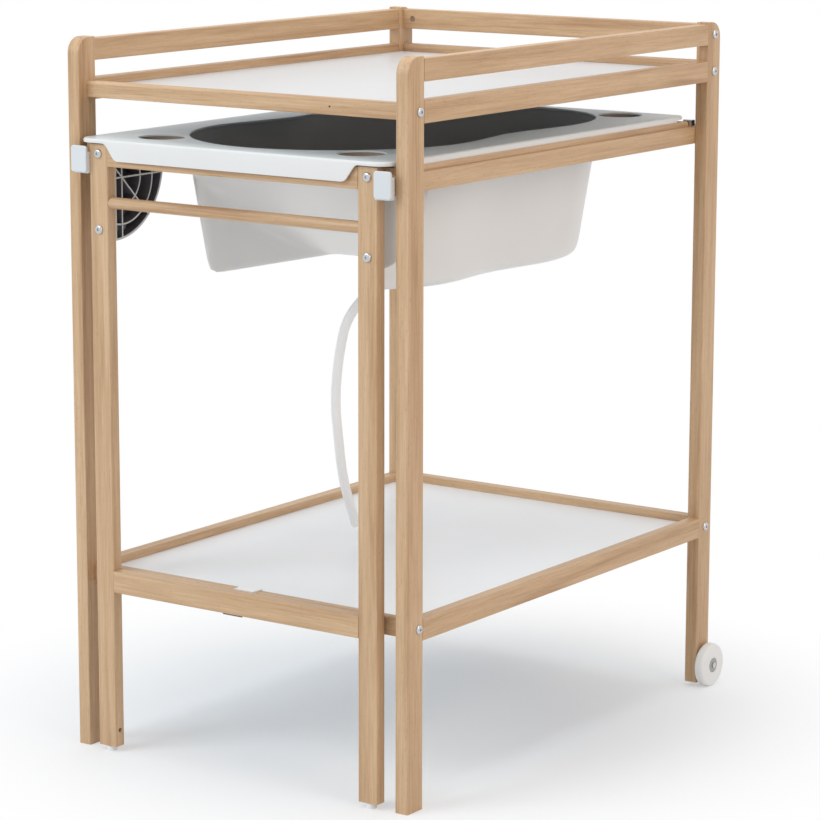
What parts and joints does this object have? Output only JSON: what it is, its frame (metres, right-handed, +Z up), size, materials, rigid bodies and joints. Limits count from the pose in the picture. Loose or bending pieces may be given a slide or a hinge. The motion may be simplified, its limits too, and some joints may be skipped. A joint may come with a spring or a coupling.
{
  "type": "changing table with bathtub",
  "caption": "Wooden changing table on wheels whose baby bath slides out on runners from under the changing tray, with a towel bar, a drain hose and a storage shelf.",
  "frame": {"origin": "on the floor, under the middle of the outline with the bath unit pushed in", "axes": "+X across the width to the right, +Y from the front with the towel bar to the back with the wheels, +Z up"},
  "size_m": [0.6104, 0.826, 1],
  "materials": {
    "beech": "clear-varnished beech, satin, with fine brown flecks and straight grain",
    "board": "white melamine face, low gloss",
    "bolt_steel": "nickel-plated steel, polished",
    "clip_steel": "folded zinc-plated sheet steel",
    "buffer_rubber": "black rubber, matt",
    "wheel_plastic": "light grey moulded plastic, satin",
    "hub_plastic": "grey moulded plastic, satin",
    "white_plastic": "white moulded plastic, semi-gloss",
    "striker_steel": "dark coated sheet steel, satin",
    "bracket_plastic": "cream moulded plastic, satin",
    "tub_plastic": "thermoformed off-white plastic, semi-gloss",
    "drain_plastic": "white moulded plastic, semi-gloss",
    "hose_plastic": "white flexible tubing, satin"
  },
  "bodies": {
    "frame": {"axle_screws": "bolt_steel", "frame_bolts": "bolt_steel", "frame_dowels": "beech", "frame_nuts": "bolt_steel", "hub_washers": "hub_plastic", "latch_magnet": "white_plastic", "post_front_left": "beech", "post_front_right": "beech", "post_rear_left": "beech", "post_rear_right": "beech", "shelf_panel": "board", "shelf_rail_front": "beech", "shelf_rail_left": "beech", "shelf_rail_rear": "beech", "shelf_rail_right": "beech", "slide_rail_left": "beech", "slide_rail_right": "beech", "slide_rail_screws": "bolt_steel", "stop_buffer_left": "buffer_rubber", "stop_buffer_right": "buffer_rubber", "stop_clip_left": "clip_steel", "stop_clip_right": "clip_steel", "tray_panel": "board", "tray_rail_front": "beech", "tray_rail_left": "beech", "tray_rail_rear": "beech", "tray_rail_right": "beech", "upper_rail_left": "beech", "upper_rail_rear": "beech", "upper_rail_right": "beech", "wheel_spacers": "hub_plastic"},
    "bath_unit": {"bath_dowels": "beech", "bath_leg_left": "beech", "bath_leg_right": "beech", "bath_rail_front": "beech", "bath_rail_rear": "beech", "bath_stretcher": "beech", "catch_left": "white_plastic", "catch_right": "white_plastic", "catch_screws": "bolt_steel", "corner_bracket_left": "bracket_plastic", "corner_bracket_right": "bracket_plastic", "drain_elbow": "drain_plastic", "drain_flange": "drain_plastic", "drain_hose": "hose_plastic", "latch_striker": "striker_steel", "leg_bolts": "bolt_steel", "leg_glides": "white_plastic", "runner_left": "beech", "runner_nuts": "bolt_steel", "runner_right": "beech", "towel_bar": "beech", "tub": "tub_plastic"},
    "wheel_l": {"wheel_left": "wheel_plastic"},
    "wheel_r": {"wheel_right": "wheel_plastic"},
    "plug": {"drain_plug": "drain_plastic"}
  },
  "joints": [
    {"name": "bath_slide", "type": "slide", "parent": "frame", "child": "bath_unit", "axis": [0, -1, 0], "range_m": [0, 0.5]},
    {"name": "wheel_left_spin", "type": "hinge", "parent": "frame", "child": "wheel_l", "pos_m": [-0.2955, 0.38, 0.033], "axis": [1, 0, 0], "continuous": true},
    {"name": "wheel_right_spin", "type": "hinge", "parent": "frame", "child": "wheel_r", "pos_m": [0.2955, 0.38, 0.033], "axis": [1, 0, 0], "continuous": true},
    {"name": "plug_lift", "type": "slide", "parent": "bath_unit", "child": "plug", "axis": [0, 0, 1], "range_m": [0, 0.03]}
  ]
}
